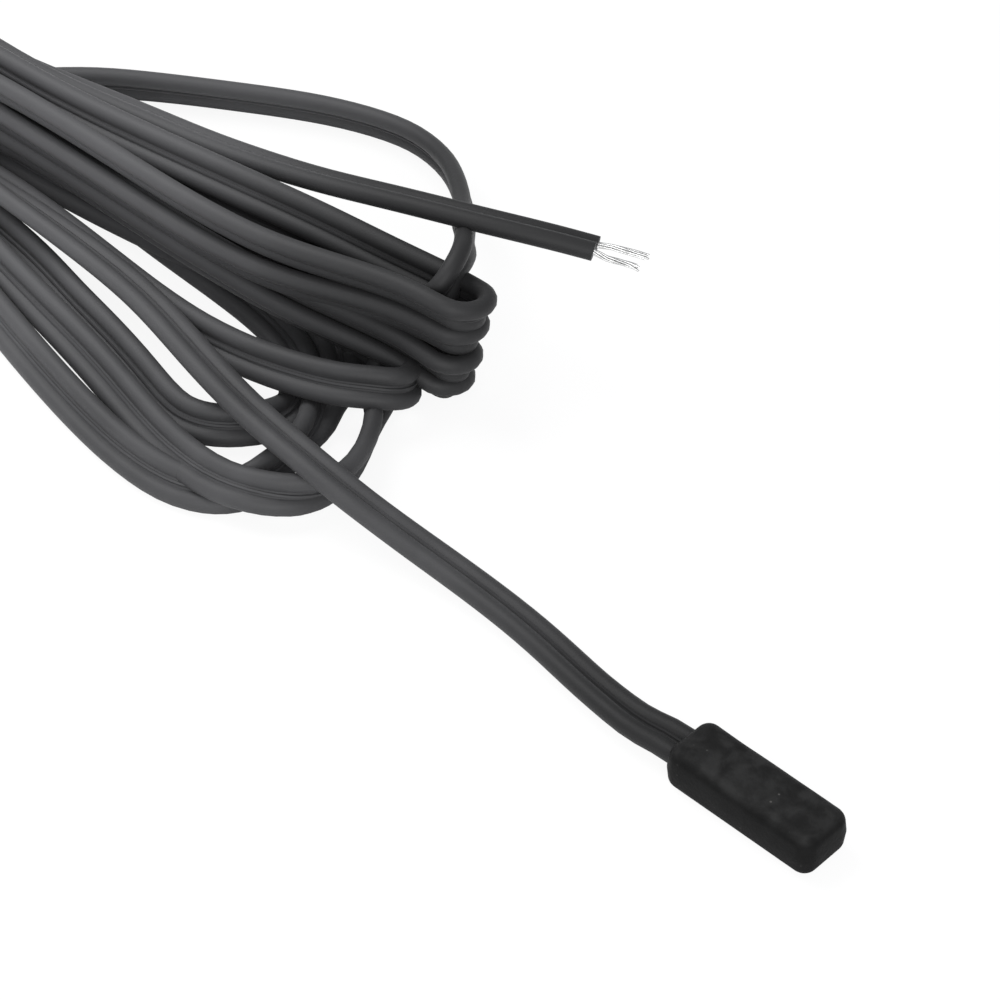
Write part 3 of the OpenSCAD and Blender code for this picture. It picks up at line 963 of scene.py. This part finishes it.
class PROBE_OT_head(bpy.types.Operator):
    """Build the moulded head with its soft edges and its shut-off groove round the cable"""
    bl_idname = "probe.head"
    bl_label = "Moulded head"

    # Steps of a rounded edge and of a corner, and points along a long and a short side
    edge_steps = 8
    corner_steps = 8
    side_points = (18, 6)
    least_corner_r = 0.35 * MM
    # Shares of the outline at which the top and the underside have rings of their own
    inner_rings = (0.75, 0.5, 0.25)
    # How far the sides swell and the top sinks, the waves per metre of each, and how high the part near
    # the floor reaches that stays even
    side_swell = 0.08 * MM
    side_waves = 260
    top_sink = 0.09 * MM
    top_waves = 140
    underside = 0.6 * MM
    # Gap of the shut-off groove round the cable in millimetres, and its depth into the head
    groove_gap = 0.35
    groove_depth = 0.5

    def execute(self, context):
        values = context.scene.probe_head
        mesh = self.head_mesh(values, context.scene.probe_cable)
        colour = tuple(values.colour)
        # The head's rubber carries painted shade on its sides
        rubber = grained_plastic("Moulded black rubber", colour, toned(colour, 2.6), roughness=0.62,
                                 grain=2200.0, bump=0.5, patch=420.0, specks=0.5, specular=0.08,
                                 sheen=0.004, shade=painted_side_shade)
        add_piece("moulded_head", mesh, rubber, ("sensor_overmould",))
        return {"FINISHED"}

    def head_mesh(self, values, cable):
        """The rounded body with its uneven surface and the groove cut into its cable end."""
        half = HEAD_SIZE / 2
        builder = bmesh.new()
        rings = []
        for inset, z in self.levels(values.edge_r, half.z):
            inward = inset + values.draft * min(1, abs(z) / (half.z - values.edge_r))
            ring = self.rectangle(half.x - inward, half.y - inward,
                                  max(values.corner_r - inward, self.least_corner_r))
            rings.append([builder.verts.new((x, y, z)) for x, y in ring])
        for ring, following in zip(rings, rings[1:]):
            bridge(builder, ring, following)
        self.close(builder, rings[0], half, flip=True)
        self.close(builder, rings[-1], half, flip=False)
        bmesh.ops.recalc_face_normals(builder, faces=builder.faces)
        self.wobble(builder)
        return self.with_groove(finished_mesh(builder, "moulded_head"), cable)

    def levels(self, edge, half_z):
        """Rings of the body from the underside up over the rim: how far each is set in, and its height."""
        lower = []
        for step in range(self.edge_steps + 1):
            angle = math.radians(90 * step / self.edge_steps)
            lower.append((edge * (1 - math.sin(angle)), -half_z + edge * (1 - math.cos(angle))))
        upper = [(inset, -z) for inset, z in reversed(lower)]
        return lower + [(0.0, 0.0)] + upper

    def rectangle(self, half_x, half_y, radius):
        """Points round a rectangle with round corners, the same number whatever its size."""
        corners = []
        for sign_x, sign_y, start in ((1, 1, 0), (-1, 1, 90), (-1, -1, 180), (1, -1, 270)):
            corner = []
            for step in range(self.corner_steps + 1):
                angle = math.radians(start + 90 * step / self.corner_steps)
                corner.append((sign_x * (half_x - radius) + radius * math.cos(angle),
                               sign_y * (half_y - radius) + radius * math.sin(angle)))
            corners.append(corner)
        points = []
        for index, corner in enumerate(corners):
            points.extend(corner)
            here = corner[-1]
            ahead = corners[(index + 1) % 4][0]
            pieces = self.side_points[index % 2]
            for step in range(1, pieces):
                share = step / pieces
                points.append((between(here[0], ahead[0], share), between(here[1], ahead[1], share)))
        return points

    def close(self, builder, ring, half, flip):
        """Closes the top or the underside with smaller rings round a spine along the head."""
        spine = half.x - half.y
        outer = ring
        for share in self.inner_rings:
            inner = []
            for vert in ring:
                middle = max(-spine, min(spine, vert.co.x))
                x = between(middle, vert.co.x, share)
                inner.append(builder.verts.new((x, vert.co.y * share, vert.co.z)))
            bridge(builder, outer, inner, flip)
            outer = inner
        builder.faces.new(list(reversed(outer)) if flip else outer)

    def wobble(self, builder):
        """Moves the body to its place and makes its sides and top slightly uneven."""
        centre = (HEAD_LOW + HEAD_HIGH) / 2
        for vert in builder.verts:
            vert.co += centre
            swell = noise.noise(vert.co * self.side_waves) * self.side_swell
            if vert.co.z > self.underside:
                vert.co.y += swell
            if vert.co.z > centre.z + MM:
                other_waves = vert.co * self.top_waves + Vector((4, 2, 1))
                vert.co.z -= abs(noise.noise(other_waves)) * self.top_sink

    def with_groove(self, body, cable):
        """The body's mesh with the groove round the cable cut out of it."""
        piece = bpy.data.objects.new("head_form", body)
        bpy.context.scene.collection.objects.link(piece)
        cutter = self.groove_cutter(cable)
        cut = piece.modifiers.new("shut_off", "BOOLEAN")
        cut.object = cutter
        cut.solver = "EXACT"
        bpy.context.view_layer.update()
        result = bpy.data.meshes.new_from_object(piece.evaluated_get(bpy.context.evaluated_depsgraph_get()))
        bpy.data.objects.remove(piece)
        bpy.data.objects.remove(cutter)
        result.name = "moulded_head"
        smooth(result, 40)
        return result

    def groove_cutter(self, cable):
        """The cable's outline grown by the groove's gap, reaching a little into the head."""
        grown = 2 * self.groove_gap
        outline = cable_outline(cable.lobe_d / MM + grown, cable.pitch / MM, cable.web / MM + grown, 0.0)
        end_x = HEAD_LOW.x / MM
        exit_z = HEAD_SIZE.z / MM / 2
        route = [Vector((end_x - 1, 0, exit_z, 0)), Vector((end_x + self.groove_depth, 0, exit_z, 0))]
        cutter = bpy.data.objects.new("groove_cutter", tube_mesh("groove_cutter", route, outline))
        bpy.context.scene.collection.objects.link(cutter)
        return cutter


class PROBE_OT_tie(bpy.types.Operator):
    """Build the flat tie round the hank, with its rounded corners and soft edges"""
    bl_idname = "probe.tie"
    bl_label = "Hank tie"

    corner_steps = 10

    def execute(self, context):
        values = context.scene.probe_tie
        material = grained_plastic("Tie plastic", tuple(values.colour), tuple(values.light_colour),
                                   roughness=0.42, grain=1800.0, bump=0.2)
        builder = bmesh.new()
        rings = []
        for sign_y, sign_z, start in ((1, 1, 0), (-1, 1, 90), (-1, -1, 180), (1, -1, 270)):
            for step in range(self.corner_steps + 1):
                angle = math.radians(start + 90 * step / self.corner_steps)
                rings.append(self.cross_section(builder, values, sign_y, sign_z, angle))
        for ring, following in zip(rings, rings[1:] + rings[:1]):
            bridge(builder, ring, following)
        bmesh.ops.recalc_face_normals(builder, faces=builder.faces)
        mesh = finished_mesh(builder, "tie_band")
        smooth(mesh, 40)
        add_piece("tie_band", mesh, material, ("hank_tie",))
        return {"FINISHED"}

    def cross_section(self, builder, values, sign_y, sign_z, angle):
        """The band's section at that angle round one of its corners."""
        half = (TIE_HIGH - TIE_LOW) / 2
        middle = (TIE_LOW + TIE_HIGH) / 2
        thickness = values.thickness
        edge = values.edge
        profile = ((TIE_LOW.x, thickness), (TIE_LOW.x, edge), (TIE_LOW.x + edge, 0),
                   (TIE_HIGH.x - edge, 0), (TIE_HIGH.x, edge), (TIE_HIGH.x, thickness))
        ring = []
        for x, inset in profile:
            radius = values.corner_r - inset
            y = middle.y + sign_y * (half.y - values.corner_r) + radius * math.cos(angle)
            z = middle.z + sign_z * (half.z - values.corner_r) + radius * math.sin(angle)
            ring.append(builder.verts.new((x, y, z)))
        return ring


class PROBE_OT_inner_parts(bpy.types.Operator):
    """Give the parts inside the head their own finishes"""
    bl_idname = "probe.inner_parts"
    bl_label = "Inner parts"

    def execute(self, context):
        resin = grained_plastic("Inner resin", (0.62, 0.58, 0.48), (0.7, 0.66, 0.56),
                                roughness=0.5, grain=900.0, bump=0.2)
        coating = grained_plastic("Bead coating", (0.012, 0.012, 0.012), (0.02, 0.02, 0.02),
                                  roughness=0.25, grain=700.0, bump=0.1)
        film = grained_plastic("Sleeve film", (0.62, 0.32, 0.06), (0.7, 0.4, 0.1),
                               roughness=0.3, grain=500.0, bump=0.1)
        crimp = tinned_metal("Crimp metal", (0.62, 0.6, 0.55), roughness=0.35, grain=3000.0)
        jacket = bpy.data.materials["Charcoal jacket"]
        wire = bpy.data.materials["Tinned wire"]
        finishes = {
            "inner_moulding": resin,
            "thermistor_bead": coating,
            "thermistor_wire_left": wire,
            "thermistor_wire_right": wire,
            "crimp_left": crimp,
            "crimp_right": crimp,
            "crimp_sleeve_left": film,
            "crimp_sleeve_right": film,
            "head_strand_left": wire,
            "head_strand_right": wire,
            "cable_end_in_head": jacket,
        }
        for node, material in finishes.items():
            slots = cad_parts[node].data.materials
            if len(slots) == 0:
                slots.append(material)
            for index in range(len(slots)):
                slots[index] = material
        return {"FINISHED"}


class PROBE_PT_panel(bpy.types.Panel):
    """Sidebar panel that lists the steps of the probe and their values"""
    bl_idname = "PROBE_PT_panel"
    bl_label = "Temperature Sensor Probe"
    bl_space_type = "VIEW_3D"
    bl_region_type = "UI"
    bl_category = "Probe"

    def draw(self, context):
        layout = self.layout
        for operator in OPERATORS:
            layout.operator(operator.bl_idname)
        for group, name in GROUPS:
            box = layout.box()
            for value in group.__annotations__:
                box.prop(getattr(context.scene, name), value)


GROUPS = ((ProbeCable, "probe_cable"), (ProbeHead, "probe_head"), (ProbeTie, "probe_tie"),
          (ProbeStage, "probe_stage"))
OPERATORS = (PROBE_OT_stage, PROBE_OT_cable, PROBE_OT_head, PROBE_OT_tie, PROBE_OT_inner_parts)


def register():
    """Registers the values, the steps and the panel."""
    for group, name in GROUPS:
        bpy.utils.register_class(group)
        setattr(bpy.types.Scene, name, bpy.props.PointerProperty(type=group))
    for operator in OPERATORS:
        bpy.utils.register_class(operator)
    bpy.utils.register_class(PROBE_PT_panel)


def unregister():
    """Takes all of them out again, in reverse."""
    bpy.utils.unregister_class(PROBE_PT_panel)
    for operator in reversed(OPERATORS):
        bpy.utils.unregister_class(operator)
    for group, name in reversed(GROUPS):
        delattr(bpy.types.Scene, name)
        bpy.utils.unregister_class(group)


def main():
    """Builds the scene step by step."""
    register()
    bpy.ops.probe.stage()
    bpy.ops.probe.cable()
    bpy.ops.probe.head()
    bpy.ops.probe.tie()
    bpy.ops.probe.inner_parts()


if __name__ == "__main__":
    main()
